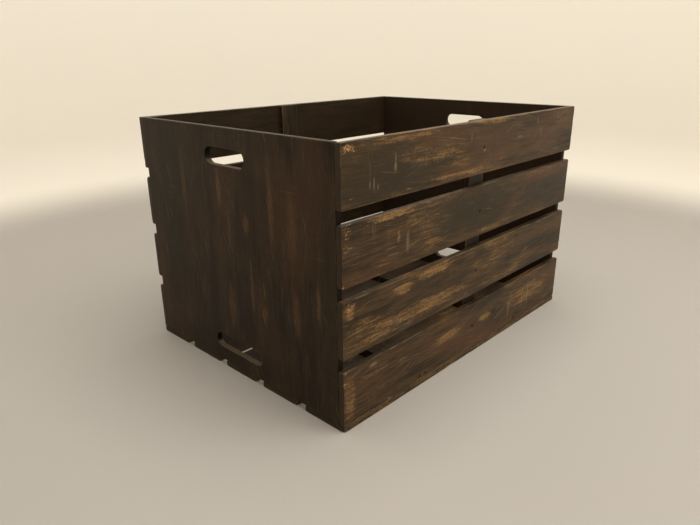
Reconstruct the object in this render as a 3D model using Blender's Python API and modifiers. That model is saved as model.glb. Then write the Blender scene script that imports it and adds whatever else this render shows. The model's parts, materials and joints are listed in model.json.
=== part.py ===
"""Wooden apple crate: an open, nailed box of thin boards that stands on its slatted floor.

Two solid end panels are closed in by four slats on each long side. Five lengthwise floor boards
run under the panels and slats, two cross battens tie the floor boards together, and one upright
batten ties the slats of each side. Nothing on it moves.

Run it with: blender --background --python part.py
Units are metres and +Z is up. X runs along the crate and Y across it, and the origin lies under
the middle of the crate, on the ground.
"""

import math

import bmesh
import bpy

# Overall size
LENGTH = 0.8128  # 32 in
WIDTH = 0.6096  # 24 in
HEIGHT = 0.5100  # about 20 in
BOARD = 0.0127  # 1/2 in, the thickness of every board but the cross battens
FIT_GAP = 0.0003  # left between pieces that touch
EASED_EDGE = 0.0010  # chamfer along the edges of every board

# Side slats, from the top one down: heights, and the gap under each. The fourth takes what is left.
SLAT_HEIGHTS = {-1: (0.1050, 0.1065, 0.1065), 1: (0.1095, 0.1080, 0.1030)}
SLAT_GAPS = {-1: (0.0240, 0.0240, 0.0240), 1: (0.0210, 0.0235, 0.0240)}
SIDE_NAMES = {-1: "front", 1: "back"}  # the sign is the side of Y
END_NAMES = {-1: "left", 1: "right"}  # the sign is the side of X

# Floor
FLOOR_BOARDS = 5
FLOOR_GAP = 0.024
BATTEN_WIDTH = 0.050
CROSS_BATTEN_THICKNESS = 0.0190  # 3/4 in
CROSS_BATTEN_X = {-1: -0.1685, 1: 0.1865}  # middles of the left and the right cross batten

# Hand slots in the end panels: a straight middle with round ends
SLOT_HEIGHT = 0.0325
UPPER_SLOT_LENGTH = 0.122
UPPER_SLOT_Z = 0.4555
LOWER_SLOT_LENGTH = 0.155
LOWER_SLOT_Z = 0.0600
SLOT_ARC_STEPS = 8

# Finishing nails
NAIL_HEAD_RADIUS = 0.00125
NAIL_HEAD_HEIGHT = 0.0009
NAIL_SHANK_RADIUS = 0.0008
NAIL_POINT = 0.0025
NAIL_SET = 0.0008  # depth of the head's top under the board's face
NAIL_SIDES = 8
LONG_NAIL = 0.032
SHORT_NAIL = 0.022  # through a slat into an upright batten, without coming out inside
BATTEN_NAIL_Z = 0.0215
BATTEN_NAIL_X = {-1: (-0.1885, -0.1695), 1: (0.1885,)}  # through the lowest slat into each cross batten
CUT_PAST = 0.005  # how far a cutter reaches past the face it cuts

# Levels and offsets that follow from the sizes
ON_FLOOR = BOARD + FIT_GAP  # underside of what stands on the floor boards
INSIDE_SLATS = WIDTH / 2 - BOARD - FIT_GAP  # half the room between the front and back slats
FLOOR_BOARD_WIDTH = (WIDTH - (FLOOR_BOARDS - 1) * FLOOR_GAP) / FLOOR_BOARDS
PANEL_MIDDLE_X = (LENGTH - BOARD) / 2

# Directions in which a nail is driven, as turns about X of a nail that points down
DRIVEN_IN_FROM = {-1: math.radians(90), 1: math.radians(-90)}
DRIVEN_UP = math.radians(180)


def clear_scene():
    """Remove the objects of the startup scene."""
    for obj in list(bpy.data.objects):
        bpy.data.objects.remove(obj, do_unlink=True)


def new_collection(name):
    collection = bpy.data.collections.new(name)
    bpy.context.scene.collection.children.link(collection)
    return collection


def linear(channel):
    """One 0-255 display colour channel as the linear value a shader takes."""
    share = channel / 255
    return share / 12.92 if share <= 0.04045 else ((share + 0.055) / 1.055) ** 2.4


def principled(name, colour, roughness, metallic=0.0):
    material = bpy.data.materials.new(name)
    material.use_nodes = True
    shader = material.node_tree.nodes["Principled BSDF"]
    shader.inputs["Base Color"].default_value = (*map(linear, colour), 1.0)
    shader.inputs["Roughness"].default_value = roughness
    shader.inputs["Metallic"].default_value = metallic
    return material


def panel_stain():
    """Dark walnut stain on the end panels."""
    return principled("panel_stain", (58, 47, 38), 0.55)


def slat_stain():
    """The same stain on the side slats, rubbed paler by use."""
    return principled("slat_stain", (78, 62, 47), 0.5)


def batten_stain():
    """Unworn stain on the battens inside the crate."""
    return principled("batten_stain", (48, 38, 29), 0.6)


def floor_stain():
    """Scuffed stain on the floor boards."""
    return principled("floor_stain", (66, 55, 44), 0.6)


def nail_steel():
    """Steel darkened by the stain."""
    return principled("nail_steel", (52, 48, 45), 0.45, 0.9)


def place(obj, collection, parent=None):
    collection.objects.link(obj)
    obj.parent = parent
    return obj


def add_board(name, low, high, material, crate, origin):
    """A board with eased edges that fills the box from low to high."""
    size = [high[i] - low[i] for i in range(3)]
    shape = bmesh.new()
    bmesh.ops.create_cube(shape, size=1.0)
    bmesh.ops.scale(shape, vec=size, verts=shape.verts)
    mesh = bpy.data.meshes.new(name)
    shape.to_mesh(mesh)
    shape.free()
    mesh.materials.append(material)
    board = place(bpy.data.objects.new(name, mesh), crate, origin)
    board.location = [(high[i] + low[i]) / 2 for i in range(3)]
    eased = board.modifiers.new("eased_edges", "BEVEL")
    eased.width = EASED_EDGE
    eased.segments = 1
    eased.limit_method = "ANGLE"
    return board


def cut(board, cutter):
    """Cut a hidden cutter out of a board."""
    boolean = board.modifiers.new("cut_" + cutter.name, "BOOLEAN")
    boolean.operation = "DIFFERENCE"
    boolean.solver = "EXACT"
    boolean.object = cutter


def hide_cutter(cutter):
    cutter.hide_render = True
    cutter.display_type = "WIRE"


def evaluated_mesh(obj, name, merge):
    """The object's shape as a closed mesh, with points that lie within merge made one."""
    bpy.context.view_layer.update()
    graph = bpy.context.evaluated_depsgraph_get()
    mesh = bpy.data.meshes.new_from_object(obj.evaluated_get(graph))
    mesh.name = name
    shape = bmesh.new()
    shape.from_mesh(mesh)
    bmesh.ops.remove_doubles(shape, verts=shape.verts, dist=merge)
    shape.to_mesh(mesh)
    shape.free()
    return mesh


def turned_mesh(name, profile, collection):
    """A mesh turned about Z from (radius, height) points that run down its outer side."""
    outline = bpy.data.meshes.new(name + "_profile")
    steps = range(len(profile) - 1)
    outline.from_pydata([(radius, 0, z) for radius, z in profile], [(i, i + 1) for i in steps], [])
    blank = place(bpy.data.objects.new(name + "_blank", outline), collection)
    turned = blank.modifiers.new("turned", "SCREW")
    turned.steps = NAIL_SIDES
    turned.render_steps = NAIL_SIDES
    turned.use_merge_vertices = True
    turned.merge_threshold = FIT_GAP / 10
    mesh = evaluated_mesh(blank, name, FIT_GAP / 10)
    bpy.data.objects.remove(blank, do_unlink=True)
    mesh.shade_smooth()
    mesh.set_sharp_from_angle(angle=math.radians(50))
    return mesh


def nail_mesh(name, length, material, crate):
    """A finishing nail that points down, with its head's top at the origin."""
    profile = [
        (0, 0),
        (NAIL_HEAD_RADIUS, 0),
        (NAIL_HEAD_RADIUS, -NAIL_HEAD_HEIGHT),
        (NAIL_SHANK_RADIUS, -NAIL_HEAD_HEIGHT),
        (NAIL_SHANK_RADIUS, NAIL_POINT - length),
        (0, -length),
    ]
    mesh = turned_mesh(name, profile, crate)
    mesh.materials.append(material)
    return mesh


def nail_hole_mesh(name, length, cutters):
    """The counterbored hole that a set nail leaves, with the fit gap all round."""
    head = NAIL_HEAD_RADIUS + FIT_GAP
    shank = NAIL_SHANK_RADIUS + FIT_GAP
    shoulder = -NAIL_HEAD_HEIGHT - FIT_GAP
    top = NAIL_SET + CUT_PAST
    bottom = -length - FIT_GAP
    profile = [(0, top), (head, top), (head, shoulder), (shank, shoulder), (shank, bottom), (0, bottom)]
    return turned_mesh(name, profile, cutters)


class Nailer:
    """Drives nails through boards: each nail is an object of its own, in holes cut to suit it."""

    def __init__(self, crate, cutters, origin):
        self.crate = crate
        self.cutters = cutters
        self.origin = origin
        steel = nail_steel()
        self.nails = {}
        self.holes = {}
        for length in (LONG_NAIL, SHORT_NAIL):
            size = f"{length * 1000:.0f}mm"
            self.nails[length] = nail_mesh(f"nail_{size}", length, steel, crate)
            self.holes[length] = nail_hole_mesh(f"nail_hole_{size}", length, cutters)

    def drive(self, name, face_point, turn, length, boards):
        """Drive a nail in at face_point, along the direction that turn gives, through the boards."""
        nail = place(bpy.data.objects.new(name, self.nails[length]), self.crate, self.origin)
        hole = place(bpy.data.objects.new(name + "_hole", self.holes[length]), self.cutters)
        for obj in (nail, hole):
            # A nail that points down is pushed down by NAIL_SET before it is turned.
            obj.location = (
                face_point[0],
                face_point[1] + NAIL_SET * math.sin(turn),
                face_point[2] - NAIL_SET * math.cos(turn),
            )
            obj.rotation_euler = (turn, 0, 0)
        hide_cutter(hole)
        for board in boards:
            cut(board, hole)


def slot_cutter(name, length, x, z, cutters):
    """A stadium-shaped plug, long enough to go right through an end panel."""
    radius = SLOT_HEIGHT / 2
    curve = bpy.data.curves.new(name, "CURVE")
    curve.dimensions = "2D"
    curve.fill_mode = "BOTH"
    curve.extrude = BOARD / 2 + CUT_PAST
    points = []
    for side in (1, -1):
        for step in range(SLOT_ARC_STEPS + 1):
            angle = math.pi * (step / SLOT_ARC_STEPS - side / 2)
            across = side * (length / 2 - radius) + radius * math.cos(angle)
            points.append((across, radius * math.sin(angle), 0, 1))
    outline = curve.splines.new("POLY")
    outline.points.add(len(points) - 1)
    for point, place_of_it in zip(outline.points, points):
        point.co = place_of_it
    outline.use_cyclic_u = True
    drawn = place(bpy.data.objects.new(name + "_outline", curve), cutters)
    # The outline's X becomes the crate's Y and the outline's Y becomes its Z.
    drawn.rotation_euler = (math.radians(90), 0, math.radians(90))
    drawn.location = (x, 0, z)
    mesh = evaluated_mesh(drawn, name, FIT_GAP / 10)
    cutter = place(bpy.data.objects.new(name, mesh), cutters)
    cutter.matrix_world = drawn.matrix_world
    bpy.data.objects.remove(drawn, do_unlink=True)
    hide_cutter(cutter)
    return cutter


def add_end_panel(end, material, crate, cutters, origin):
    """A solid panel between the front and back slats, with an upper and a lower hand slot."""
    outer, inner = end * LENGTH / 2, end * (LENGTH / 2 - BOARD)
    low = (min(outer, inner), -INSIDE_SLATS, ON_FLOOR)
    high = (max(outer, inner), INSIDE_SLATS, HEIGHT)
    name = END_NAMES[end]
    panel = add_board(f"{name}_end_panel", low, high, material, crate, origin)
    x = end * PANEL_MIDDLE_X
    cut(panel, slot_cutter(f"{name}_upper_slot", UPPER_SLOT_LENGTH, x, UPPER_SLOT_Z, cutters))
    cut(panel, slot_cutter(f"{name}_lower_slot", LOWER_SLOT_LENGTH, x, LOWER_SLOT_Z, cutters))
    return panel


def slat_levels(side):
    """Bottom and top of each slat of one side, from the top one down to the one on the floor boards."""
    levels = []
    top = HEIGHT
    for height, gap in zip(SLAT_HEIGHTS[side], SLAT_GAPS[side]):
        levels.append((top - height, top))
        top -= height + gap
    levels.append((ON_FLOOR, top))
    return levels


def add_side_slats(side, material, crate, origin):
    """The slats of one long side, from the top one down, flush with the panels' outer faces."""
    outer, inner = side * WIDTH / 2, side * (WIDTH / 2 - BOARD)
    slats = []
    for number, (bottom, top) in enumerate(slat_levels(side), start=1):
        low = (-LENGTH / 2, min(outer, inner), bottom)
        high = (LENGTH / 2, max(outer, inner), top)
        name = f"{SIDE_NAMES[side]}_slat_{number}"
        slats.append(add_board(name, low, high, material, crate, origin))
    return slats


def add_floor_boards(material, crate, origin):
    """The lengthwise boards that the crate stands on, from the front one to the back one."""
    boards = []
    for number in range(FLOOR_BOARDS):
        front = -WIDTH / 2 + number * (FLOOR_BOARD_WIDTH + FLOOR_GAP)
        low = (-LENGTH / 2, front, 0)
        high = (LENGTH / 2, front + FLOOR_BOARD_WIDTH, BOARD)
        boards.append(add_board(f"floor_board_{number + 1}", low, high, material, crate, origin))
    return boards


def add_cross_batten(end, material, crate, origin):
    """A batten that lies across the floor boards, from the front slat to the back slat."""
    middle = CROSS_BATTEN_X[end]
    low = (middle - BATTEN_WIDTH / 2, -INSIDE_SLATS, ON_FLOOR)
    high = (middle + BATTEN_WIDTH / 2, INSIDE_SLATS, ON_FLOOR + CROSS_BATTEN_THICKNESS)
    return add_board(f"{END_NAMES[end]}_cross_batten", low, high, material, crate, origin)


def add_upright_batten(side, material, crate, origin):
    """A batten that stands inside the middle of a long side and reaches the rim."""
    outer, inner = side * INSIDE_SLATS, side * (INSIDE_SLATS - BOARD)
    low = (-BATTEN_WIDTH / 2, min(outer, inner), ON_FLOOR)
    high = (BATTEN_WIDTH / 2, max(outer, inner), HEIGHT)
    return add_board(f"{SIDE_NAMES[side]}_upright_batten", low, high, material, crate, origin)


def nail_side(nailer, side, slats, panels, upright, cross_battens):
    """Nail one side's slats to the end panels and the upright, and its lowest slat to the battens."""
    face = side * WIDTH / 2
    turn = DRIVEN_IN_FROM[side]
    for number, slat in enumerate(slats, start=1):
        name = f"nail_{SIDE_NAMES[side]}_slat_{number}"
        z = slat.location.z
        for end, panel in panels.items():
            place_of_nail = (end * PANEL_MIDDLE_X, face, z)
            nailer.drive(f"{name}_{END_NAMES[end]}", place_of_nail, turn, LONG_NAIL, (slat, panel))
        nailer.drive(f"{name}_middle", (0, face, z), turn, SHORT_NAIL, (slat, upright))
    for end, batten in cross_battens.items():
        name = f"nail_{SIDE_NAMES[side]}_{END_NAMES[end]}_batten"
        for number, x in enumerate(BATTEN_NAIL_X[end], start=1):
            place_of_nail = (x, face, BATTEN_NAIL_Z)
            nailer.drive(f"{name}_{number}", place_of_nail, turn, LONG_NAIL, (slats[-1], batten))


def nail_floor(nailer, floor_boards, panels):
    """Nail each floor board up into both end panels."""
    for number, board in enumerate(floor_boards, start=1):
        for end, panel in panels.items():
            name = f"nail_floor_board_{number}_{END_NAMES[end]}"
            place_of_nail = (end * PANEL_MIDDLE_X, board.location.y, 0)
            nailer.drive(name, place_of_nail, DRIVEN_UP, LONG_NAIL, (board, panel))


def build_crate():
    crate = new_collection("apple_crate")
    cutters = new_collection("cutters")
    origin = place(bpy.data.objects.new("apple_crate_origin", None), crate)
    batten_material = batten_stain()
    panel_material = panel_stain()
    slat_material = slat_stain()
    panels = {end: add_end_panel(end, panel_material, crate, cutters, origin) for end in END_NAMES}
    floor_boards = add_floor_boards(floor_stain(), crate, origin)
    battens = {end: add_cross_batten(end, batten_material, crate, origin) for end in END_NAMES}
    nailer = Nailer(crate, cutters, origin)
    for side in SIDE_NAMES:
        slats = add_side_slats(side, slat_material, crate, origin)
        upright = add_upright_batten(side, batten_material, crate, origin)
        nail_side(nailer, side, slats, panels, upright, battens)
    nail_floor(nailer, floor_boards, panels)


clear_scene()
build_crate()
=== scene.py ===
"""Looks for a slatted apple crate: worn, dark-stained boards and set nails, in a plain studio."""

import json
import math
import random
from dataclasses import dataclass, field

import bpy
import numpy as np
from mathutils import Matrix, Vector, noise


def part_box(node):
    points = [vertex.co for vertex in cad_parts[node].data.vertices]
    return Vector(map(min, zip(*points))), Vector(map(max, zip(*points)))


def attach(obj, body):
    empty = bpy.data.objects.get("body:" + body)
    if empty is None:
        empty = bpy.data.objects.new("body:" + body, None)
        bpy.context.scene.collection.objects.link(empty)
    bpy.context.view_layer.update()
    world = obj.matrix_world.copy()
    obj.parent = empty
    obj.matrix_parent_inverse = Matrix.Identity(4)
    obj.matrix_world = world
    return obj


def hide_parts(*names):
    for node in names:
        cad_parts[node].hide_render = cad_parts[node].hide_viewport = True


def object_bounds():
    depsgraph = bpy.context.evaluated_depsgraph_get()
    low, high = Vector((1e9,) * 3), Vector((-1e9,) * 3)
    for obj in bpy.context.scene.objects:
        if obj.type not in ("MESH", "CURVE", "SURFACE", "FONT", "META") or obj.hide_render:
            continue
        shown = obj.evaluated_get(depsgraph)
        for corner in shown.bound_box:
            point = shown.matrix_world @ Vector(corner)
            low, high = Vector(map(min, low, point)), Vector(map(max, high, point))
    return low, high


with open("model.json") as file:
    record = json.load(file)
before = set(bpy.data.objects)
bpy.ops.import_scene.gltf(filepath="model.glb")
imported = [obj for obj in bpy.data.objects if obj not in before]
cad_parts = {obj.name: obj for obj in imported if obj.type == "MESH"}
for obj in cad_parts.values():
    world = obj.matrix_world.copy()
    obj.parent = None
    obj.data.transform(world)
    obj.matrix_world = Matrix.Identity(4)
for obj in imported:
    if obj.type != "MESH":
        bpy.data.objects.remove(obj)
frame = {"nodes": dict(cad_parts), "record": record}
cad_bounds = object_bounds()
RIM_Z = cad_bounds[1][2]

X, Y, Z = Vector((1, 0, 0)), Vector((0, 1, 0)), Vector((0, 0, 1))
UPRIGHT = ("front_upright_batten", "back_upright_batten")
CROSS = ("left_cross_batten", "right_cross_batten")
END_PANELS = ("left_end_panel", "right_end_panel")

# Boards: how far points lie from each end of a side, and how edges are worn, in metres
NEAR_EDGE = (0, 0.0004, 0.0009, 0.0015, 0.0023, 0.0034, 0.0050)
FAR_EDGE = (0.0070, 0.0095, 0.0125, 0.0160, 0.0200, 0.0250, 0.0310)
GRID_STEP = 0.0100
EDGE_RADIUS = 0.0009
LEAST_RADIUS = 0.0004
MOST_RADIUS = 0.0045
DENT_DEPTH = 0.0016  # how much rounder an edge is where it was dented
CORNER_WEAR = 0.0013  # how much rounder a corner is than an edge
CORNER_REACH = 0.0055
WAVINESS = 0.00012  # how far a face falls below flat
SPLINTERS = 0.22  # how far a bite's outline strays, as a share of its size
TINY = 1e-9  # keeps a division from dividing by nothing

# Hand slots in the end panels, as the solid has them
SLOT_HEIGHT = 0.0325
SLOTS = ((0.4555, 0.122), (0.0600, 0.155))  # height of the middle, and length
SLOT_ROUND = 0.0012
SLOT_ARC_STEPS = 14
SLOT_ROUND_STEPS = 6

# Nails
NAIL_GAP = 0.0003
FILLED_GAP = 0.00006  # round a head under filler
SHANK_SHARE = 0.64  # the shank's width as a share of the head's
HEAD_HEIGHT = 0.0009
NAIL_SET = 0.0008
NAIL_SIDES = 20
CRATER = 0.0007  # how much wider the broken rim of an open nail hole is
PLUG_DEPTH = 0.00015  # filler over a slat-end nail stops this far under the face
PLUG_LOOPS = 4  # loops of points at a filled nail's top, which filler covers

CUT_PAST = 0.0030  # how far a cutter stands out of the face

# Stain: how far the grain wanders, how deep a mark reaches, and how closely end grain's rings lie
GRAIN_WANDER = 0.006
MARK_DEPTH = 0.008
RING_ANGLE = 1700.0  # radians per metre
INNER_SKIN = (0.0012, 0.0004)  # depths under an inner face: where its colour begins, and is full
FACE_SKIN = (0.0009, 0.0003)  # the same under an end or a long edge


# ---------------------------------------------------------------- boards


class Board:
    """One board of the crate, with its own axes: X along the grain, Z out of the face that shows."""

    def __init__(self, node, grain, face):
        low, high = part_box(node)
        self.node = node
        self.turn = Matrix((grain, face.cross(grain), face)).transposed()
        self.centre = (low + high) / 2
        size = self.turn.transposed() @ (high - low)
        self.half = Vector(abs(value) / 2 for value in size)
        self.low, self.high = low, high
        self.number = sorted(frame["nodes"]).index(node)
        self.outer = "slat" in node or node in END_PANELS

    def matrix(self):
        return Matrix.Translation(self.centre) @ self.turn.to_4x4()


def all_boards():
    boards = []
    for node in sorted(frame["nodes"]):
        if node.startswith("nail_"):
            continue
        if node.startswith("front_slat"):
            axes = (X, -Y)
        elif node.startswith("back_slat"):
            axes = (-X, Y)
        elif node.startswith("floor_board"):
            axes = (X, Z)
        elif node in CROSS:
            axes = (Y, Z)
        elif node in UPRIGHT:
            axes = (Z, Y if node.startswith("front") else -Y)
        else:
            axes = (Z, -X if node.startswith("left") else X)
        boards.append(Board(node, *axes))
    return boards


def places_along(half, distances):
    """Places from -half to half: at the given distances from both ends, and GRID_STEP apart between."""
    kept = [d for d in distances if d < half - 0.0005]
    room = 2 * (half - kept[-1])
    count = max(1, round(room / GRID_STEP))
    middle = [kept[-1] + room * i / count for i in range(1, count)]
    return [d - half for d in kept + middle] + [half - d for d in reversed(kept)]


def box_grid(xs, ys, zs):
    """Points and quads of a box's skin on a lattice, every quad turned outwards."""
    index = {}
    points = []
    quads = []
    lines = (xs, ys, zs)
    steps = [len(line) - 1 for line in lines]

    def point(key):
        if key not in index:
            index[key] = len(points)
            points.append([lines[axis][key[axis]] for axis in range(3)])
        return index[key]

    for axis in range(3):
        u, v = (axis + 1) % 3, (axis + 2) % 3
        for side in (0, steps[axis]):
            for a in range(steps[u]):
                for b in range(steps[v]):
                    corners = []
                    for da, db in ((0, 0), (1, 0), (1, 1), (0, 1)):
                        key = [0, 0, 0]
                        key[axis], key[u], key[v] = side, a + da, b + db
                        corners.append(point(tuple(key)))
                    quads.append(corners if side else corners[::-1])
    return np.array(points), quads


def field_of(points, scale, shift):
    """Smooth noise from -1 to 1 at every point. scale is per metre along each axis."""
    places = points * np.array(scale) + shift
    return np.array([noise.noise(place) for place in places.tolist()])


def smooth_step(values, low, high):
    t = np.clip((values - low) / (high - low), 0, 1)
    return t * t * (3 - 2 * t)


def rounded_outline(points, half, radii):
    """Rounds the corners of the board's broad outline. radii maps the signs of X and Y to a radius."""
    for (along, across), radius in radii.items():
        middle = np.array((along * (half[0] - radius), across * (half[1] - radius)))
        away = points[:, :2] - middle
        beyond = (away[:, 0] * along > 0) & (away[:, 1] * across > 0)
        length = np.linalg.norm(away, axis=1)
        chosen = np.nonzero(beyond & (length > TINY))[0]
        square = np.maximum(np.abs(away[chosen, 0]), np.abs(away[chosen, 1]))
        points[chosen, :2] = middle + away[chosen] * (square / length[chosen])[:, None]
    return points


def worn(points, half, seed, wear):
    """The box's points with edges and corners rounded unevenly, as years of handling leave them."""
    half = np.array(half)
    shift = np.array((seed * 3.7, seed * 1.3, seed * 2.1))
    even = field_of(points, (38, 38, 38), shift)
    dents = field_of(points, (21, 55, 55), shift + 11.5)
    radius = EDGE_RADIUS * (1 + 0.45 * even)
    radius += wear * DENT_DEPTH * smooth_step(dents, 0.30, 0.62)
    to_corner = np.linalg.norm(half - np.abs(points), axis=1)
    radius += wear * CORNER_WEAR * (1 + even) * np.exp(-((to_corner / CORNER_REACH) ** 2))
    radius = np.clip(radius, LEAST_RADIUS, MOST_RADIUS)[:, None]
    core = np.clip(points, -(half - radius), half - radius)
    away = points - core
    length = np.maximum(np.linalg.norm(away, axis=1, keepdims=True), TINY)
    shaped = core + away * radius / length
    low_spots = field_of(points, (9, 22, 22), shift + 5.2)
    flat = np.abs(np.abs(points[:, 2]) - half[2]) < 1e-6
    sink = WAVINESS * (0.5 + 0.5 * low_spots) * flat * (to_corner > 0.006)
    shaped[:, 2] -= np.sign(points[:, 2]) * sink
    return shaped


def bitten(points, bites, seed):
    """Presses points out of each bite: an ellipsoid of missing wood, with a splintered outline."""
    for number, (centre, radii) in enumerate(bites):
        centre, radii = np.array(centre), np.array(radii)
        away = (points - centre) / radii
        reach = np.linalg.norm(away, axis=1)
        near = np.nonzero(reach < 1 + 1.5 * SPLINTERS)[0]
        if not len(near):
            continue
        rough = field_of(points[near], (130, 420, 420), seed + 7.1 * number)
        outline = 1 + SPLINTERS * rough
        inside = reach[near] < outline
        chosen = near[inside]
        grown = (outline[inside] / np.maximum(reach[chosen], 1e-6))[:, None]
        pressed = centre + away[chosen] * grown * radii
        points[chosen] = np.sign(points[chosen]) * np.minimum(np.abs(pressed), np.abs(points[chosen]))
    return points


def mesh_from(name, points, faces, matrix=None):
    mesh = bpy.data.meshes.new(name)
    mesh.from_pydata([tuple(p) for p in points], [], [tuple(f) for f in faces])
    if matrix is not None:
        mesh.transform(matrix)
    mesh.validate()
    mesh.update()
    return mesh


def shown(name, mesh):
    piece = bpy.data.objects.new(name, mesh)
    bpy.context.scene.collection.objects.link(piece)
    return piece


# ---------------------------------------------------------------- cutters


def loft(loops):
    """A closed skin over loops of equally many points, from the first loop to the last."""
    count = len(loops[0])
    points = [point for loop in loops for point in loop]
    faces = [list(range(count))[::-1]]
    for level in range(len(loops) - 1):
        base = level * count
        for i in range(count):
            j = (i + 1) % count
            faces.append((base + i, base + j, base + count + j, base + count + i))
    faces.append([(len(loops) - 1) * count + i for i in range(count)])
    return points, faces


def slot_loop(height, length, grow, along):
    """Round-ended slot outline in an end panel's axes, grown by grow, at a depth along the panel's Z."""
    radius = SLOT_HEIGHT / 2 + grow
    straight = length / 2 - SLOT_HEIGHT / 2
    loop = []
    for end in (1, -1):
        for i in range(SLOT_ARC_STEPS + 1):
            angle = -math.pi / 2 + math.pi * i / SLOT_ARC_STEPS
            across = end * (straight + radius * math.cos(angle))
            loop.append((height + end * radius * math.sin(angle), across, along))
    return loop[::-1]


def slot_skin(board, height, length):
    """Cutter for one hand slot, which widens near both faces and so leaves rounded rims."""
    half = board.half.z
    side = [(half + CUT_PAST, SLOT_ROUND)]
    for i in range(SLOT_ROUND_STEPS + 1):
        depth = SLOT_ROUND * (1 - math.cos(math.pi / 2 * i / SLOT_ROUND_STEPS))
        inset = SLOT_ROUND - depth
        side.append((half - depth, SLOT_ROUND - math.sqrt(max(SLOT_ROUND**2 - inset**2, 0))))
    through = [(-z, grow) for z, grow in side] + side[::-1]
    local = height - board.centre.z
    points, faces = loft([slot_loop(local, length, grow, z) for z, grow in through])
    return [board.matrix() @ Vector(p) for p in points], faces


def turned(profile, sides, matrix, stretch=1.0):
    """A closed body turned from (radius, height) pairs round the matrix's Z, bottom first."""
    loops = []
    for radius, height in profile:
        loop = []
        for i in range(sides):
            angle = 2 * math.pi * i / sides
            across = radius * math.cos(angle)
            along = radius * math.sin(angle) * stretch
            loop.append(matrix @ Vector((across, along, height)))
        loops.append(loop)
    return loft(loops)


class Nail:
    """A finishing nail: where its head lies, which way it points, and its size, from its CAD box."""

    def __init__(self, node):
        low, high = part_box(node)
        size = high - low
        self.node = node
        self.low, self.high = low, high
        self.length = max(size)
        self.head = min(size) / 2
        self.shank = self.head * SHANK_SHARE
        self.out = {"front": -Y, "back": Y, "floor": -Z}[node.split("_")[1]]
        self.top = (low + high) / 2 + self.out * self.length / 2
        self.filled = node.endswith(("_left", "_right")) and "slat" in node
        side = Z.cross(self.out) if abs(self.out.z) < 0.5 else X
        turn = Matrix((side, self.out.cross(side), self.out)).transposed()
        self.matrix = Matrix.Translation(self.top) @ turn.to_4x4()

    def crosses(self, board):
        for axis in range(3):
            if self.high[axis] < board.low[axis] or self.low[axis] > board.high[axis]:
                return False
        return True

    def hole_skin(self):
        """Cutter for the nail's hole, with a wider, broken rim where the hole is open."""
        shank = self.shank + NAIL_GAP
        wide = self.head + (FILLED_GAP if self.filled else NAIL_GAP)
        rim = wide if self.filled else wide + CRATER
        profile = [
            (shank * 0.3, -self.length - NAIL_GAP),
            (shank, 0.002 - self.length),
            (shank, -HEAD_HEIGHT - NAIL_GAP),
            (wide, -HEAD_HEIGHT - NAIL_GAP),
            (wide, NAIL_SET - (0.0001 if self.filled else 0.0005)),
            (rim, NAIL_SET + 0.00002),
            (rim + 0.0002, NAIL_SET + CUT_PAST),
        ]
        stretch = 1.0 if self.filled else 1.25
        return turned(profile, NAIL_SIDES, self.matrix, stretch)

    def body(self):
        """The nail's mesh: point, shank and head, with filler over it at a slat's end."""
        shank = self.shank
        profile = [
            (0.00012, -self.length),
            (shank * 0.55, 0.0011 - self.length),
            (shank, 0.0025 - self.length),
            (shank, -HEAD_HEIGHT - 0.0004),
            (shank * 1.12, -HEAD_HEIGHT),
            (self.head, -HEAD_HEIGHT * 0.55),
            (self.head, -0.0002),
            (self.head * 0.86, -0.00004),
            (self.head * 0.45, 0.0),
        ]
        if self.filled:
            level = NAIL_SET - PLUG_DEPTH
            profile = profile[:-2] + [
                (self.head, level - 0.0001),
                (self.head * 0.8, level),
                (self.head * 0.3, level - 0.00006),
            ]
        points, faces = turned(profile, NAIL_SIDES, self.matrix)
        return mesh_from(self.node + "_worn", points, faces)


def cut(piece, skins):
    """Takes all the skins out of the piece with one exact Boolean."""
    points, faces = [], []
    for skin_points, skin_faces in skins:
        base = len(points)
        points += skin_points
        faces += [[base + i for i in face] for face in skin_faces]
    cutter = shown("cutter", mesh_from("cutter", points, faces))
    boolean = piece.modifiers.new("holes", "BOOLEAN")
    boolean.operation = "DIFFERENCE"
    boolean.solver = "EXACT"
    boolean.object = cutter
    bpy.context.view_layer.update()
    evaluated = piece.evaluated_get(bpy.context.evaluated_depsgraph_get())
    mesh = bpy.data.meshes.new_from_object(evaluated)
    piece.modifiers.clear()
    piece.data = mesh
    bpy.data.objects.remove(cutter)


def finish_surface(piece, sharp_degrees):
    """Smooth shading that keeps real corners, with flat faces left flat."""
    mesh = piece.data
    mesh.polygons.foreach_set("use_smooth", [True] * len(mesh.polygons))
    mesh.set_sharp_from_angle(angle=math.radians(sharp_degrees))
    weighted = piece.modifiers.new("flat_faces", "WEIGHTED_NORMAL")
    weighted.keep_sharp = True
    weighted.weight = 80


# ---------------------------------------------------------------- wood


def colour(red, green, blue):
    """A colour given in everyday 0 to 255 values, as the linear values that shaders take."""
    values = []
    for value in (red, green, blue):
        share = value / 255
        values.append(share / 12.92 if share <= 0.04045 else ((share + 0.055) / 1.055) ** 2.4)
    return (*values, 1.0)


@dataclass
class Mark:
    """A worn or tinted place, or a place of painted shade, on a board's show face: its middle and
    half-sizes in the board's axes, in metres.
    """

    x: float
    y: float
    wide: float
    high: float
    strength: float
    kind: str = "tan"


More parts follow.
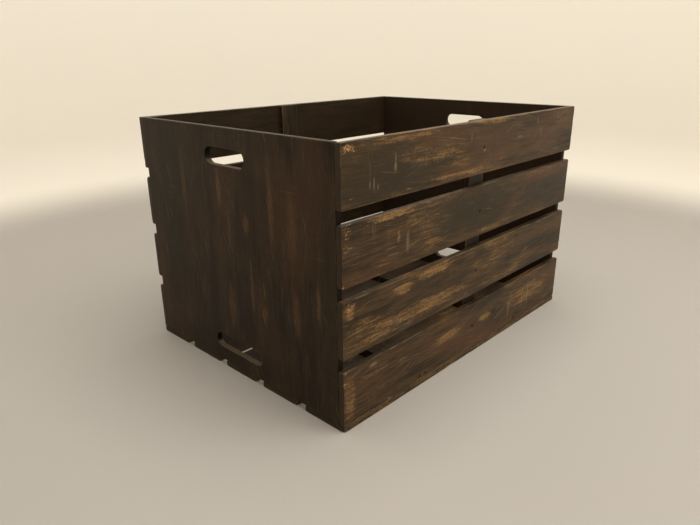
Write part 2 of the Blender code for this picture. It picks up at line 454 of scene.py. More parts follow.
@dataclass
class Look:
    """How one kind of board takes its stain and wear."""

    dark: tuple = colour(38, 30, 20)
    brown: tuple = colour(80, 60, 37)
    warm: tuple = colour(78, 53, 35)
    olive: tuple = colour(50, 42, 29)
    lining: tuple = colour(38, 29, 19)
    worn_brown: tuple = colour(106, 81, 49)
    tan: tuple = colour(147, 114, 75)
    raw: tuple = colour(184, 140, 92)
    pale: tuple = colour(76, 59, 41)
    # Near-black painted shade for slot walls, nail-hole rims, the panels' edges between the slats and the
    # floor by the left end panel
    painted_shade: tuple = colour(16, 12, 8)
    # Pale scuff colour for scuffs, scratches and rubbed edges; also the painted highlight on the hand
    # slots' lower lips
    scuff_and_highlight: tuple = colour(128, 112, 88)
    # Top rim colour: part wear from handling, part painted highlight
    worn_and_lit_rim_colour: tuple = colour(150, 134, 110)
    end_dark: tuple = colour(34, 26, 17)
    end_brown: tuple = colour(60, 46, 30)
    dust_colour: tuple = colour(150, 138, 116)
    contrast: float = 0.50
    rub: float = 0.5
    edges: float = 0.6
    # How strongly the top rim shows its wear and painted highlight
    rim: float = 0.45
    scuffs: float = 0.25
    scratches: float = 0.5
    dust: float = 0.0
    rough: float = 0.44
    shine: float = 0.14
    wear: float = 1.0
    marks: list = field(default_factory=list)
    bites: list = field(default_factory=list)
    round_corners: dict = field(default_factory=dict)


class Graph:
    """A short way to write a material's nodes: each call adds one node and returns its output."""

    def __init__(self, name):
        self.material = bpy.data.materials.new(name)
        self.material.use_nodes = True
        self.tree = self.material.node_tree
        self.tree.nodes.clear()

    def node(self, kind, values, **settings):
        node = self.tree.nodes.new("ShaderNode" + kind)
        for key, value in settings.items():
            setattr(node, key, value)
        for key, value in values.items():
            if isinstance(value, bpy.types.NodeSocket):
                self.tree.links.new(value, node.inputs[key])
            else:
                node.inputs[key].default_value = value
        return node

    def math(self, operation, first, second=0.0, clamp=False):
        values = {0: first, 1: second}
        return self.node("Math", values, operation=operation, use_clamp=clamp).outputs[0]

    def product(self, first, *others):
        for other in others:
            first = self.math("MULTIPLY", first, other)
        return first

    def weighted(self, *pairs):
        """The sum of values, each times its weight."""
        total = None
        for value, weight in pairs:
            part = self.math("MULTIPLY", value, weight)
            total = part if total is None else self.math("ADD", total, part)
        return total

    def vector(self, operation, first, second=(0, 0, 0)):
        return self.node("VectorMath", {0: first, 1: second}, operation=operation).outputs[0]

    def length(self, vector):
        return self.node("VectorMath", {0: vector}, operation="LENGTH").outputs["Value"]

    def parts(self, vector):
        return self.node("SeparateXYZ", {0: vector}).outputs

    def step(self, value, low, high):
        """0 at low and 1 at high, smoothly. low may be the larger."""
        values = {"Value": value, "From Min": low, "From Max": high}
        return self.node("MapRange", values, interpolation_type="SMOOTHSTEP").outputs[0]

    def level(self, value, low, high):
        """A 0 to 1 value moved to the range low to high."""
        values = {"Value": value, "To Min": low, "To Max": high}
        return self.node("MapRange", values).outputs[0]

    def grain(self, place, scale, detail=2.0, rough=0.5):
        """Noise whose scale, per metre, differs along each axis."""
        values = {
            "Vector": self.vector("MULTIPLY", place, scale),
            "Scale": 1.0,
            "Detail": detail,
            "Roughness": rough,
        }
        return self.node("TexNoise", values).outputs[0]

    def mix(self, share, first, second, blend="MIX"):
        values = {0: share, 6: first, 7: second}
        return self.node("Mix", values, data_type="RGBA", blend_type=blend).outputs[2]

    def principled(self, **values):
        named = {key.replace("_", " "): value for key, value in values.items()}
        shader = self.node("BsdfPrincipled", named)
        output = self.node("OutputMaterial", {})
        self.tree.links.new(shader.outputs[0], output.inputs["Surface"])
        return self.material


def median(graph, values):
    first, second, third = values
    low = graph.math("MINIMUM", first, second)
    high = graph.math("MAXIMUM", first, second)
    return graph.math("MAXIMUM", low, graph.math("MINIMUM", high, third))


def slot_parts(graph, board, place, face_inset, height, length):
    """One hand slot: the distance to its rim, and how much is its wall, which gets painted shade, and its
    lower lip, which gets a painted highlight.
    """
    along, across, _ = graph.parts(place)
    radius = SLOT_HEIGHT / 2
    straight = length / 2 - radius
    up = graph.math("SUBTRACT", along, height - board.centre.z)
    past = graph.math("SUBTRACT", graph.math("ABSOLUTE", across), straight)
    past = graph.math("MAXIMUM", past, 0.0)
    squares = graph.math("ADD", graph.math("MULTIPLY", past, past), graph.math("MULTIPLY", up, up))
    out = graph.math("SQRT", squares)
    rim = graph.math("MAXIMUM", graph.math("SUBTRACT", out, radius), face_inset)
    wall = graph.step(out, radius + 0.8 * SLOT_ROUND, radius + 0.2 * SLOT_ROUND)
    shaded = graph.product(wall, graph.step(up, -0.35 * SLOT_HEIGHT, -0.2 * SLOT_HEIGHT))
    return rim, shaded, graph.math("SUBTRACT", wall, shaded)


class StainedWood:
    """Dark stain on sawn boards: streaks along the grain, rub-through, worn edges, scuffs and dust.

    The steps lay one colour over another, each over what the steps before it left.
    """

    def __init__(self, board, look):
        self.board = board
        self.look = look
        self.graph = Graph(board.node + "_stained_wood")
        self.set_places()
        self.measure_edges()
        self.make_noises()
        self.lay_stain()
        self.rub_through()
        self.scuff()
        self.scratch()
        self.keep_lining()
        self.chip()
        self.rub_edges()
        self.paint_rim_wear_and_highlight()
        self.speck_corners()
        self.darken_end_grain()
        self.shade_slots()
        self.add_painted_shade()
        self.rub_floor_edges()
        self.settle_dust()

    def lay(self, share, tint, strength=1.0):
        """Lays a tint over the stain so far."""
        self.stain = self.graph.mix(self.graph.product(share, strength), self.stain, tint)

    def marked(self, kind, ragged, raggedness=0.7):
        """The strongest mark of a kind at each point, with outlines broken up by ragged noise."""
        graph = self.graph
        total = 0.0
        for mark in self.look.marks:
            if mark.kind != kind:
                continue
            middle = (mark.x, mark.y, self.board.half.z)
            away = graph.vector("SUBTRACT", self.place, middle)
            scaled = graph.vector("MULTIPLY", away, (1 / mark.wide, 1 / mark.high, 1 / MARK_DEPTH))
            reach = graph.math("ADD", graph.length(scaled), graph.level(ragged, -raggedness, raggedness))
            share = graph.product(graph.step(reach, 1.20, 0.35), mark.strength)
            total = graph.math("MAXIMUM", total, share)
        return total

    def set_places(self):
        """Places in the board's own axes, and the same moved so that no two boards share their grain."""
        graph, board = self.graph, self.board
        self.where = graph.node("TexCoord", {}).outputs["Object"]
        values = {
            "Vector": self.where,
            "Location": tuple(board.centre),
            "Rotation": tuple(board.turn.to_euler()),
        }
        self.place = graph.node("Mapping", values, vector_type="TEXTURE").outputs[0]
        number = board.number
        shift = (number * 1.73, number * 0.61 + 4.0, number * 0.37 + 2.0)
        self.moved = graph.vector("ADD", self.place, shift)

    def measure_edges(self):
        """How far each point lies inside the board's faces, its nearest edge and its hand slots."""
        graph, board = self.graph, self.board
        inset = graph.vector("SUBTRACT", tuple(board.half), graph.vector("ABSOLUTE", self.place))
        self.insets = graph.parts(inset)
        self.edge = median(graph, self.insets)
        self.slots = []
        if board.node in END_PANELS:
            for height, length in SLOTS:
                rim, shaded, lit_lip = slot_parts(graph, board, self.place, self.insets[2], height, length)
                self.edge = graph.math("MINIMUM", self.edge, rim)
                self.slots.append((shaded, lit_lip))
        depth = graph.parts(self.place)[2]
        deep, thin = INNER_SKIN
        self.inner = graph.step(depth, deep - board.half.z, thin - board.half.z)

    def make_noises(self):
        """The noises that the steps share. The grain wanders a little along the board."""
        graph, moved = self.graph, self.moved
        wander = graph.grain(moved, (2.6, 6.0, 6.0), detail=1.0)
        sideways = graph.level(wander, -GRAIN_WANDER, GRAIN_WANDER)
        bend = graph.node("CombineXYZ", {1: sideways, 2: sideways}).outputs[0]
        along = graph.vector("ADD", moved, bend)
        aside = graph.vector("ADD", moved, (3.1, 7.7, 1.9))
        self.soft = graph.grain(along, (3.2, 26, 26), detail=3.0, rough=0.55)
        self.streak = graph.grain(along, (11, 95, 95), detail=3.0, rough=0.6)
        self.thread = graph.grain(along, (60, 330, 330), detail=3.0, rough=0.65)
        self.line = graph.grain(along, (18, 250, 250), detail=2.0, rough=0.55)
        self.ragged = graph.grain(along, (40, 150, 150), detail=3.0, rough=0.65)
        self.blotch = graph.grain(moved, (3.4, 12, 12), detail=3.0)
        self.other_blotch = graph.grain(aside, (2.3, 9, 9), detail=3.0)
        self.speckle = graph.grain(moved, (150, 360, 360), detail=3.0, rough=0.7)
        self.crumb = graph.grain(moved, (230, 300, 300), detail=3.0, rough=0.75)
        self.grit = graph.weighted((self.line, 0.42), (self.speckle, 0.33), (self.crumb, 0.25))

    def lay_stain(self):
        graph, look = self.graph, self.look
        tone = graph.weighted((self.soft, 0.34), (self.streak, 0.36), (self.line, 0.30))
        self.stain = graph.mix(graph.step(tone, 0.38, 0.62), look.dark, look.brown)
        self.lay(graph.step(self.blotch, 0.50, 0.66), look.warm, 0.7)
        self.lay(graph.step(self.other_blotch, 0.50, 0.66), look.olive, 0.7)
        for kind in ("dark", "olive", "warm", "pale"):
            self.lay(self.marked(kind, self.ragged), getattr(look, kind))
        shade = graph.product(graph.level(self.thread, 0.35, 1.65), graph.level(self.speckle, 0.60, 1.40))
        shade_colour = graph.node("CombineColor", {0: shade, 1: shade, 2: shade}).outputs[0]
        self.stain = graph.mix(look.contrast, self.stain, shade_colour, blend="MULTIPLY")

    def rub_through(self):
        """Stain rubbed through to tan wood, in lines and crumbs: the more a place is rubbed, the more."""
        graph, look = self.graph, self.look
        area = graph.step(graph.grain(self.moved, (5.0, 17, 17), detail=3.0), 0.48, 0.72)
        cover = graph.product(area, look.rub)
        cover = graph.math("MAXIMUM", cover, self.marked("tan", self.ragged))
        rubbed = graph.step(graph.weighted((self.grit, 1.0), (cover, 0.25)), 0.56, 0.74)
        if self.board.outer:
            rubbed = graph.product(rubbed, graph.level(self.inner, 1.0, 0.25))
        self.rubbed = graph.product(rubbed, graph.level(cover, 0.25, 0.95))
        self.lay(cover, look.worn_brown, 0.30)
        self.lay(self.rubbed, graph.mix(graph.step(self.grit, 0.42, 0.60), look.worn_brown, look.tan))

    def scuff(self):
        """Pale scuffs across the grain, where other things were dragged along the crate."""
        graph, look = self.graph, self.look
        area = graph.step(graph.grain(self.moved, (7, 9, 9), detail=1.0), 0.54, 0.70)
        stroke = graph.step(graph.grain(self.moved, (190, 13, 13), detail=2.0), 0.60, 0.76)
        placed = self.marked("scuff", self.speckle, 0.35)
        placed = graph.math("MULTIPLY", placed, graph.level(self.crumb, 0.45, 1.35), clamp=True)
        self.scuffs = graph.math("MAXIMUM", graph.product(area, stroke, look.scuffs), placed)
        self.lay(self.scuffs, look.scuff_and_highlight)

    def scratch(self):
        """Thin scratches in two directions near the grain's."""
        graph, look = self.graph, self.look
        total = 0.0
        for turn, shift in ((0.16, 0.0), (-0.30, 5.0)):
            values = {"Vector": self.moved, "Location": (shift, 0, 0), "Rotation": (0, 0, turn)}
            across = graph.node("Mapping", values).outputs[0]
            stroke = graph.step(graph.grain(across, (12, 620, 40), detail=0.0), 0.69, 0.78)
            area = graph.step(graph.grain(across, (11, 16, 16), detail=1.0), 0.52, 0.66)
            total = graph.math("MAXIMUM", total, graph.product(stroke, area))
        self.scratches = graph.product(total, look.scratches)
        self.lay(self.scratches, look.scuff_and_highlight)

    def keep_lining(self):
        """The inner faces were stained too, but nothing has rubbed them. The uprights' faces against the
        slats, seen only in the gaps between slats, get painted shade.
        """
        if self.board.outer:
            self.lay(self.inner, self.look.lining, 0.75)
        if self.board.node in UPRIGHT:
            # Painted shade, in end-grain dark, on the uprights' faces against the slats
            self.lay(self.inner, self.look.end_dark, 0.9)

    def chip(self):
        """Bare wood in chips, broken into crumbs."""
        graph, look = self.graph, self.look
        raws = self.marked("raw", self.ragged, 1.5)
        broken = graph.product(raws, graph.level(self.crumb, -1.10, 2.50))
        wood = graph.mix(graph.step(self.crumb, 0.42, 0.60), look.tan, look.raw)
        self.lay(graph.step(broken, 0.40, 0.90), wood, 0.9)

    def rub_edges(self):
        """Edges rubbed pale, unevenly."""
        graph, look = self.graph, self.look
        uneven = graph.level(self.ragged, -0.0014, 0.0014)
        near = graph.step(graph.math("ADD", self.edge, uneven), 0.0018, 0.0004)
        area = graph.step(graph.grain(self.moved, (17, 30, 30), detail=2.0), 0.46, 0.62)
        self.rubbed_edge = graph.product(near, graph.level(area, 0.10, 1.0), look.edges)
        self.lay(self.rubbed_edge, look.scuff_and_highlight)

    def paint_rim_wear_and_highlight(self):
        """The top rim is handled most and its inner half shows it most: a pale colour that is part wear,
        part painted highlight where the rim catches the light.
        """
        graph, look = self.graph, self.look
        top = graph.step(graph.parts(self.where)[2], RIM_Z - 0.0004, RIM_Z - 0.0001)
        uneven = graph.level(self.ragged, look.rim * 0.2, look.rim * 1.6)
        share = graph.math("MULTIPLY", top, uneven, clamp=True)
        outer_half = graph.step(graph.parts(self.place)[2], -0.004, 0.003)
        self.worn_and_lit_rim = graph.product(share, graph.level(outer_half, 1.0, 0.20))
        # Paints the rim paler: wear and a painted highlight
        self.lay(self.worn_and_lit_rim, look.worn_and_lit_rim_colour)

    def speck_corners(self):
        """Specks of bare wood where corners were knocked."""
        graph, look = self.graph, self.look
        cells = graph.node("TexVoronoi", {"Vector": self.moved, "Scale": 150.0, "Randomness": 1.0})
        chance = graph.step(graph.parts(cells.outputs["Color"])[0], 0.86, 0.92)
        dot = graph.step(cells.outputs["Distance"], 0.20, 0.08)
        near = graph.step(self.edge, 0.016, 0.001)
        self.lay(graph.product(dot, chance, near), look.scuff_and_highlight, look.edges)

    def darken_end_grain(self):
        """End grain drinks more stain and shows its rings."""
        graph, look = self.graph, self.look
        across = graph.length(graph.vector("MULTIPLY", self.place, (0, 1, 1.6)))
        across = graph.math("ADD", across, graph.level(self.ragged, 0.0, 0.003))
        ring = graph.math("SINE", graph.product(across, RING_ANGLE))
        tint = graph.mix(graph.level(ring, 0.25, 0.55), look.end_dark, look.end_brown)
        tint = graph.mix(graph.step(self.speckle, 0.62, 0.76), tint, look.worn_brown)
        end = graph.product(self.skin(self.insets[0]), graph.math("SUBTRACT", 1.0, self.worn_and_lit_rim))
        self.lay(end, tint, 0.85)

    def skin(self, inset):
        """How much a point belongs to the face that the inset is measured from."""
        return self.graph.step(inset, *FACE_SKIN)

    def shade_slots(self):
        """The walls of the hand slots get painted shade, and their lower lips, which face up to the light,
        a pale painted highlight.
        """
        for shaded, lit_lip in self.slots:
            # Painted shade on the slot's wall
            self.lay(shaded, self.look.painted_shade, 0.85)
            # Painted highlight on the slot's lower lip, in the pale scuff colour
            self.lay(lit_lip, self.look.scuff_and_highlight, 0.3)

    def add_painted_shade(self):
        """Painted shade in the rims of nail holes, on the floor by the left end panel and on the panels'
        edges between the slats.
        """
        # Painted shade in open nail-hole rims and on the floor by the left end panel
        self.lay(self.marked("painted_shade", self.crumb, 0.3), self.look.painted_shade)
        if self.board.node in END_PANELS:
            # Painted shade on the end panel's edges, seen in the gaps between the slats
            self.lay(self.skin(self.insets[1]), self.look.painted_shade, 0.75)

    def rub_floor_edges(self):
        """The long edges of the floor boards are rubbed where the crate is dragged and lifted."""
        if self.board.node.startswith("floor_board"):
            grit = self.graph.step(self.grit, 0.44, 0.58)
            tint = self.graph.mix(grit, self.look.end_brown, self.look.worn_brown)
            self.lay(self.skin(self.insets[1]), tint, 0.8)

    def settle_dust(self):
        self.dust = self.graph.product(self.graph.step(self.speckle, 0.35, 0.65), self.look.dust)
        self.lay(self.dust, self.look.dust_colour)

    def roughness(self):
        """Duller where the stain is gone, scuffed or dusty."""
        graph, rough = self.graph, self.look.rough
        stained = graph.level(self.streak, rough - 0.12, rough + 0.14)
        bare = graph.math("MAXIMUM", self.rubbed, self.rubbed_edge)
        worn_dull = graph.weighted((stained, 1.0), (bare, 0.22), (self.scuffs, 0.15))
        return graph.math("ADD", worn_dull, graph.product(self.dust, 0.30), clamp=True)

    def relief(self):
        """Open grain, with scratches and rubbed places a little lower."""
        raised = ((self.thread, 0.55), (self.streak, 0.30), (self.crumb, 0.15))
        lowered = ((self.scratches, -0.5), (self.rubbed, -0.20))
        height = self.graph.weighted(*raised, *lowered)
        values = {"Strength": 0.5, "Distance": 0.0006, "Height": height}
        return self.graph.node("Bump", values).outputs[0]

    def material(self):
        return self.graph.principled(
            Base_Color=self.stain,
            Roughness=self.roughness(),
            Normal=self.relief(),
            Specular_IOR_Level=self.look.shine,
        )


def steel():
    """Dull, stain-darkened steel of the nail heads."""
    graph = Graph("nail_steel_dull")
    where = graph.node("TexCoord", {}).outputs["Object"]
    spots = graph.grain(where, (900, 900, 900), detail=3.0)
    tone = graph.mix(graph.step(spots, 0.40, 0.62), colour(24, 21, 18), colour(58, 48, 38))
    bump = graph.node("Bump", {"Strength": 0.4, "Distance": 0.0002, "Height": spots}).outputs[0]
    return graph.principled(
        Base_Color=tone, Metallic=0.7, Roughness=graph.level(spots, 0.38, 0.68), Normal=bump
    )


def filler():
    """Stained filler over the nails at the slats' ends."""
    graph = Graph("stained_filler")
    where = graph.node("TexCoord", {}).outputs["Object"]
    grit = graph.grain(where, (1500, 1500, 1500), detail=3.0)
    tone = graph.mix(graph.step(grit, 0.35, 0.70), colour(44, 36, 28), colour(88, 70, 52))
    bump = graph.node("Bump", {"Strength": 0.5, "Distance": 0.0002, "Height": grit}).outputs[0]
    return graph.principled(Base_Color=tone, Roughness=graph.level(grit, 0.60, 0.80), Normal=bump)


# ---------------------------------------------------------------- how each board looks


# Worn places on the boards that the view shows best
FRONT_MARKS = {
    "front_slat_1": [
        Mark(-0.387, 0.043, 0.019, 0.010, 1.0, "raw"),
        Mark(-0.385, -0.036, 0.008, 0.002, 0.6, "raw"),
        Mark(-0.309, 0.043, 0.043, 0.004, 0.65),
        Mark(-0.244, 0.045, 0.128, 0.007, 0.70),
        Mark(0.036, 0.053, 0.107, 0.011, 0.85),
        Mark(-0.142, 0.006, 0.090, 0.016, 0.55),
        Mark(-0.063, -0.041, 0.130, 0.008, 0.70),
        Mark(-0.276, 0.015, 0.003, 0.010, 0.40, "scuff"),
        Mark(-0.276, 0.000, 0.004, 0.010, 0.65, "scuff"),
        Mark(-0.340, -0.021, 0.002, 0.008, 0.55, "scuff"),
        Mark(-0.330, -0.021, 0.002, 0.012, 0.65, "scuff"),
        Mark(-0.320, -0.027, 0.002, 0.006, 0.50, "scuff"),
        Mark(-0.239, -0.044, 0.008, 0.002, 0.60, "scuff"),
        Mark(-0.097, -0.019, 0.017, 0.003, 0.40, "scuff"),
        Mark(0.325, -0.039, 0.023, 0.002, 0.50, "scuff"),
        Mark(0.240, 0.009, 0.003, 0.013, 0.40, "scuff"),
        Mark(0.220, 0.035, 0.003, 0.011, 0.40, "scuff"),
        Mark(0.318, 0.040, 0.003, 0.009, 0.40, "scuff"),
        Mark(0.144, 0.006, 0.017, 0.003, 0.50, "scuff"),
        Mark(-0.047, 0.025, 0.003, 0.011, 0.35, "scuff"),
        Mark(0.004, -0.007, 0.004, 0.003, 0.9, "raw"),
        Mark(-0.300, -0.008, 0.150, 0.060, 0.90, "olive"),
        Mark(0.260, -0.010, 0.110, 0.038, 0.50, "warm"),
    ],
    "front_slat_2": [
        Mark(-0.394, 0.032, 0.014, 0.026, 0.75, "raw"),
        Mark(-0.300, 0.046, 0.070, 0.010, 0.55, "raw"),
        Mark(-0.404, -0.049, 0.003, 0.004, 0.9, "raw"),
        Mark(-0.275, 0.049, 0.090, 0.010, 0.85),
        Mark(-0.177, 0.050, 0.020, 0.004, 0.60),
        Mark(-0.264, 0.005, 0.005, 0.016, 0.75),
        Mark(-0.163, -0.031, 0.050, 0.014, 0.50),
        Mark(0.047, -0.044, 0.049, 0.007, 0.70),
        Mark(0.266, 0.045, 0.106, 0.007, 0.50),
        Mark(0.269, 0.038, 0.127, 0.015, 0.70, "warm"),
        Mark(-0.026, 0.010, 0.210, 0.052, 1.0, "olive"),
        Mark(0.270, -0.010, 0.170, 0.044, 0.95, "olive"),
        Mark(-0.238, -0.010, 0.005, 0.022, 0.50, "scuff"),
        Mark(-0.285, -0.011, 0.019, 0.002, 0.45, "scuff"),
        Mark(-0.279, -0.024, 0.019, 0.002, 0.40, "scuff"),
        Mark(-0.355, 0.000, 0.030, 0.030, 0.40, "olive"),
    ],
    "front_slat_3": [
        Mark(-0.391, 0.040, 0.018, 0.014, 0.65, "raw"),
        Mark(-0.388, 0.029, 0.013, 0.021, 0.65),
        Mark(-0.247, 0.032, 0.036, 0.014, 0.85),
        Mark(-0.151, 0.043, 0.072, 0.013, 0.90),
        Mark(-0.198, -0.024, 0.190, 0.018, 0.80),
        Mark(0.082, 0.047, 0.081, 0.010, 0.60),
        Mark(0.116, -0.042, 0.135, 0.012, 0.50),
        Mark(-0.329, -0.036, 0.080, 0.012, 0.65),
        Mark(-0.350, -0.005, 0.055, 0.018, 0.55),
        Mark(-0.100, 0.005, 0.100, 0.016, 0.35, "dark"),
    ],
    "front_slat_4": [
        Mark(-0.402, 0.050, 0.006, 0.004, 0.9, "raw"),
        Mark(-0.405, 0.031, 0.003, 0.005, 0.8, "raw"),
        Mark(-0.044, -0.035, 0.004, 0.002, 0.7, "raw"),
        Mark(-0.282, -0.051, 0.005, 0.002, 0.7, "raw"),
        Mark(-0.095, 0.009, 0.061, 0.014, 0.90),
        Mark(0.054, 0.005, 0.030, 0.012, 0.80),
        Mark(0.250, 0.005, 0.135, 0.034, 0.70),
        Mark(-0.243, 0.013, 0.021, 0.007, 0.55),
        Mark(-0.390, 0.000, 0.018, 0.060, 0.65),
        Mark(-0.324, 0.023, 0.047, 0.009, 0.40),
        Mark(0.159, -0.009, 0.003, 0.029, 0.60, "scuff"),
        Mark(0.252, -0.001, 0.004, 0.036, 0.65, "scuff"),
        Mark(0.225, 0.000, 0.003, 0.030, 0.40, "scuff"),
        Mark(0.285, 0.017, 0.003, 0.020, 0.45, "scuff"),
        Mark(-0.329, 0.041, 0.012, 0.005, 0.75, "scuff"),
        Mark(0.159, 0.048, 0.033, 0.003, 0.50, "scuff"),
        Mark(0.039, 0.038, 0.083, 0.014, 0.70, "olive"),
    ],
}
LEFT_PANEL_MARKS = [
    Mark(0.135, 0.025, 0.050, 0.008, 0.90, "pale"),
    Mark(0.050, 0.000, 0.060, 0.006, 0.55, "pale"),
    Mark(0.075, -0.055, 0.022, 0.010, 0.85, "pale"),
    Mark(0.120, -0.130, 0.110, 0.009, 0.70, "pale"),
    Mark(0.185, -0.100, 0.030, 0.012, 0.70, "warm"),
    Mark(0.090, -0.185, 0.075, 0.016, 0.65, "pale"),
    Mark(-0.015, 0.135, 0.050, 0.016, 0.60, "warm"),
    Mark(0.130, 0.150, 0.080, 0.008, 0.45, "pale"),
    Mark(-0.050, -0.062, 0.070, 0.006, 0.75, "pale"),
    Mark(-0.030, -0.248, 0.045, 0.006, 0.85, "pale"),
    Mark(-0.070, -0.190, 0.050, 0.012, 0.60, "pale"),
    Mark(-0.095, -0.100, 0.022, 0.010, 0.60, "pale"),
    Mark(-0.110, 0.010, 0.060, 0.012, 0.50, "pale"),
    Mark(-0.215, 0.000, 0.045, 0.260, 0.45, "dark"),
    Mark(0.060, 0.240, 0.170, 0.040, 0.35, "olive"),
    Mark(-0.030, -0.125, 0.060, 0.030, 0.40, "olive"),
]
FLOOR_TONES = {
    "dark": colour(34, 26, 17),
    "brown": colour(72, 52, 36),
    "warm": colour(70, 48, 34),
    "olive": colour(46, 38, 27),
}
# Darker tones for the front floor board: painted shade cast by the front slats
SHADED_FRONT_FLOOR_TONES = {
    "dark": colour(22, 17, 11),
    "brown": colour(42, 32, 21),
    "warm": colour(40, 28, 20),
    "olive": colour(30, 25, 17),
}


def scattered_marks(board):
    """Wear for a side seen less: a few tan places and scuffs, and chips at corners, seeded by the board."""
    pick = random.Random(board.number)
    half = board.half
    marks = []
    for _ in range(4):
        x, y = pick.uniform(-0.8, 0.8) * half.x, pick.uniform(-0.95, 0.95) * half.y
        wide, high = pick.uniform(0.03, 0.12), pick.uniform(0.006, 0.014)
        marks.append(Mark(x, y, wide, high, pick.uniform(0.5, 0.85)))
    for _ in range(5):
        x, y = pick.uniform(-0.9, 0.9) * half.x, pick.uniform(-0.7, 0.7) * half.y
        marks.append(Mark(x, y, 0.003, pick.uniform(0.008, 0.020), pick.uniform(0.3, 0.6), "scuff"))
    for along in (-1, 1):
        across = pick.choice((-1, 1))
        wide, high = pick.uniform(0.005, 0.012), pick.uniform(0.004, 0.009)
        marks.append(Mark(along * (half.x - 0.008), across * (half.y - 0.006), wide, high, 0.8, "raw"))
    kind = pick.choice(("warm", "olive"))
    marks.append(Mark(pick.uniform(-0.2, 0.2), 0.0, 0.15, half.y * 0.7, 0.5, kind))
    return marks


def scattered_panel_marks(board):
    """Lighter streaks up and down the end panel that the view seldom shows."""
    pick = random.Random(board.number)
    marks = []
    for _ in range(14):
        x, y = pick.uniform(-0.18, 0.22), pick.uniform(-0.28, 0.28)
        long, wide = pick.uniform(0.025, 0.110), pick.uniform(0.006, 0.016)
        marks.append(Mark(x, y, long, wide, pick.uniform(0.4, 0.9), pick.choice(("pale", "pale", "warm"))))
    marks.append(Mark(-0.215, 0.0, 0.045, 0.260, 0.45, "dark"))
    return marks


def nail_hole_marks(board, nails):
    """Painted shade in a broken rim round every open nail hole in the board's show face."""
    marks = []
    back = board.matrix().inverted()
    for nail in nails:
        place = back @ nail.top
        if nail.filled or not nail.crosses(board) or abs(place.z - board.half.z) > 0.002:
            continue
        # Painted shade round the open hole's broken rim
        marks.append(Mark(place.x, place.y, 0.0042, 0.0042, 1.0, "painted_shade"))
    return marks


def panel_look(board):
    left = board.node.startswith("left")
    return Look(
        dark=colour(33, 26, 18),
        brown=colour(49, 38, 26),
        warm=colour(60, 42, 28),
        olive=colour(41, 35, 24),
        pale=colour(78, 57, 38),
        lining=colour(52, 39, 27),
        shine=0.09,
        contrast=0.45,
        rub=0.15,
        scuffs=0.10,
        scratches=0.30,
        edges=0.35,
        rim=0.6,
        rough=0.46,
        wear=0.7,
        marks=list(LEFT_PANEL_MARKS) if left else scattered_panel_marks(board),
        round_corners={(1, 1): 0.003, (1, -1): 0.007, (-1, 1): 0.004, (-1, -1): 0.002},
    )


def front_slat_look(board):
    """The top slat has lost its upper left corner from the outside."""
    half = board.half
    missing = ((0.005 - half.x, half.y - 0.006, half.z + 0.010), (0.024, 0.012, 0.0114))
    bites = [missing] if board.node == "front_slat_1" else []
    return Look(marks=list(FRONT_MARKS[board.node]), bites=bites)


def floor_look(board):
    """Floor boards are dull and knocked about, with painted shade at the left end. The front one is
    darkest: its tones are painted shade cast by the front slats.
    """
    # The front board takes darker tones as painted shade from the front slats
    tones = SHADED_FRONT_FLOOR_TONES if board.node == "floor_board_1" else FLOOR_TONES
    # Painted shade on the floor by the left end panel, seen through its low hand slot
    shaded_left_end = Mark(-0.36, 0.0, 0.13, 0.08, 0.65, "painted_shade")
    return Look(
        **tones,
        rub=0.30,
        edges=1.0,
        scuffs=0.20,
        dust=0.05,
        rough=0.54,
        wear=1.5,
        marks=[shaded_left_end] + scattered_marks(board)[:6],
    )


def batten_look():
    return Look(
        dark=colour(33, 26, 17),
        brown=colour(64, 49, 32),
        warm=colour(60, 42, 29),
        olive=colour(42, 36, 25),
        rub=0.30,
        edges=0.5,
        scuffs=0.2,
        wear=0.8,
    )


def look_of(board):
    node = board.node
    if node in END_PANELS:
        return panel_look(board)
    if node.startswith("front_slat"):
        return front_slat_look(board)
    if node.startswith("back_slat"):
        return Look(rub=0.55, marks=scattered_marks(board))
    if node.startswith("floor_board"):
        return floor_look(board)
    return batten_look()


# ---------------------------------------------------------------- building


def build_board(board, nails):
    look = look_of(board)
    look.marks += nail_hole_marks(board, nails)
    half = board.half
    fine = NEAR_EDGE + FAR_EDGE
    points, quads = box_grid(
        places_along(half.x, fine), places_along(half.y, fine), places_along(half.z, NEAR_EDGE)
    )
    points = worn(points, half, board.number + 1, look.wear)
    points = rounded_outline(points, half, look.round_corners)
    points = bitten(points, look.bites, board.number + 0.5)
    mesh = mesh_from(board.node + "_worn", points, quads, board.matrix())
    piece = shown(board.node + "_worn", mesh)
    skins = [nail.hole_skin() for nail in nails if nail.crosses(board)]
    if board.node in END_PANELS:
        skins += [slot_skin(board, height, length) for height, length in SLOTS]
    if skins:
        cut(piece, skins)
    finish_surface(piece, sharp_degrees=42)
    piece.data.materials.clear()
    piece.data.materials.append(StainedWood(board, look).material())
    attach(piece, "root")
    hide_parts(board.node)
    slot_of(board.node)


def slot_of(node):
    for entry in frame["record"]["subparts"]:
        if entry["node"] == node:
            return entry["material_slot"]
    raise KeyError(node)


def build_nail(nail, metal, putty):
    mesh = nail.body()
    piece = shown(nail.node + "_worn", mesh)
    mesh.materials.append(metal)
    if nail.filled:
        mesh.materials.append(putty)
        plug_start = len(mesh.vertices) - PLUG_LOOPS * NAIL_SIDES
        for polygon in mesh.polygons:
            if min(polygon.vertices) >= plug_start:
                polygon.material_index = 1
    finish_surface(piece, sharp_degrees=50)
    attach(piece, "root")
    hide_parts(nail.node)
    slot_of(nail.node)


def build_crate():
    nails = [Nail(node) for node in sorted(frame["nodes"]) if node.startswith("nail_")]
    for board in all_boards():
        build_board(board, nails)
    metal, putty = steel(), filler()
    for nail in nails:
        build_nail(nail, metal, putty)


# ---------------------------------------------------------------- studio

STAGE_RADIUS = 1.75
STAGE_CURVE = 0.30
STAGE_HEIGHT = 1.35
STAGE_SIDES = 128
STAGE_RINGS = 12  # of the flat floor if it reached the wall, and of the curve

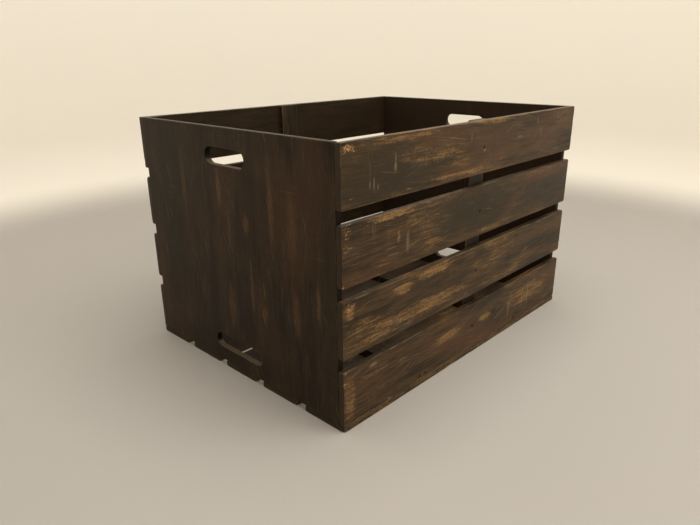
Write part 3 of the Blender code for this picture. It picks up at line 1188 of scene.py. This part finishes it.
CAMERA_PLACE = (-1.0238, -0.9141, 0.6335)
CAMERA_YAW = 0.8068
CAMERA_PITCH = 0.3443
CAMERA_ROLL = -0.0095
CAMERA_LENS = 29.88


def add_stage():
    """A round floor that curves up into a low wall, the same on every side of the crate."""
    flat = STAGE_RADIUS - STAGE_CURVE
    rings = [STAGE_RADIUS * i / STAGE_RINGS for i in range(1, STAGE_RINGS)]
    profile = [(radius, 0.0) for radius in rings if radius < flat - 0.02] + [(flat, 0.0)]
    for i in range(1, STAGE_RINGS + 1):
        angle = math.pi / 2 * i / STAGE_RINGS
        profile.append((flat + STAGE_CURVE * math.sin(angle), STAGE_CURVE * (1 - math.cos(angle))))
    profile.append((STAGE_RADIUS, STAGE_HEIGHT))
    points = [(0.0, 0.0, 0.0)]
    faces = []
    for radius, height in profile:
        for i in range(STAGE_SIDES):
            angle = 2 * math.pi * i / STAGE_SIDES
            points.append((radius * math.cos(angle), radius * math.sin(angle), height))
    for i in range(STAGE_SIDES):
        j = (i + 1) % STAGE_SIDES
        faces.append((0, 1 + i, 1 + j))
        for level in range(len(profile) - 1):
            low = 1 + level * STAGE_SIDES
            high = low + STAGE_SIDES
            faces.append((low + i, high + i, high + j, low + j))
    mesh = mesh_from("studio_stage", points, faces)
    mesh.polygons.foreach_set("use_smooth", [True] * len(mesh.polygons))
    stage = shown("studio_stage", mesh)
    graph = Graph("studio_paper")
    height = graph.parts(graph.node("TexCoord", {}).outputs["Object"])[2]
    tone = graph.mix(graph.step(height, 0.0, 0.12), colour(182, 176, 168), colour(250, 243, 229))
    mesh.materials.append(graph.principled(Base_Color=tone, Roughness=0.85))


def add_light(name, place, target, size, watts, tint):
    data = bpy.data.lights.new(name, "AREA")
    data.shape = "SQUARE"
    data.size = size
    data.energy = watts
    data.color = tint
    lamp = bpy.data.objects.new(name, data)
    lamp.location = place
    lamp.rotation_euler = (Vector(target) - Vector(place)).to_track_quat("-Z", "Y").to_euler()
    lamp.visible_camera = False
    bpy.context.scene.collection.objects.link(lamp)


def add_lights():
    warm = (1.0, 0.98, 0.94)
    add_light("overhead_softbox", (0.0, -0.40, 2.6), (0, 0, 0), 2.0, 38, warm)
    add_light("front_softbox", (0.25, -1.40, 1.8), (0, 0, 0.2), 1.2, 14, warm)
    add_light("rear_softbox", (-0.25, 1.40, 1.8), (0, 0, 0.2), 1.2, 4, warm)
    world = bpy.data.worlds.new("studio_air")
    world.use_nodes = True
    sky = world.node_tree.nodes["Background"]
    sky.inputs["Color"].default_value = (1.0, 0.97, 0.91, 1)
    sky.inputs["Strength"].default_value = 0.30
    bpy.context.scene.world = world


def add_camera():
    """A low corner view: over the left end panel and along the front slats."""
    level = math.sin(CAMERA_YAW) * X + math.cos(CAMERA_YAW) * Y
    forward = math.cos(CAMERA_PITCH) * level - math.sin(CAMERA_PITCH) * Z
    right = math.cos(CAMERA_YAW) * X - math.sin(CAMERA_YAW) * Y
    up = right.cross(forward)
    side = math.cos(CAMERA_ROLL) * right + math.sin(CAMERA_ROLL) * up
    top = math.cos(CAMERA_ROLL) * up - math.sin(CAMERA_ROLL) * right
    data = bpy.data.cameras.new("camera")
    data.sensor_width = 36.0
    data.lens = CAMERA_LENS
    data.clip_start = 0.02
    camera = bpy.data.objects.new("camera", data)
    turn = Matrix((side, top, -forward)).transposed()
    camera.matrix_world = Matrix.Translation(CAMERA_PLACE) @ turn.to_4x4()
    bpy.context.scene.collection.objects.link(camera)
    bpy.context.scene.camera = camera


build_crate()
add_stage()
add_lights()
add_camera()
bpy.context.scene.view_settings.view_transform = "Standard"
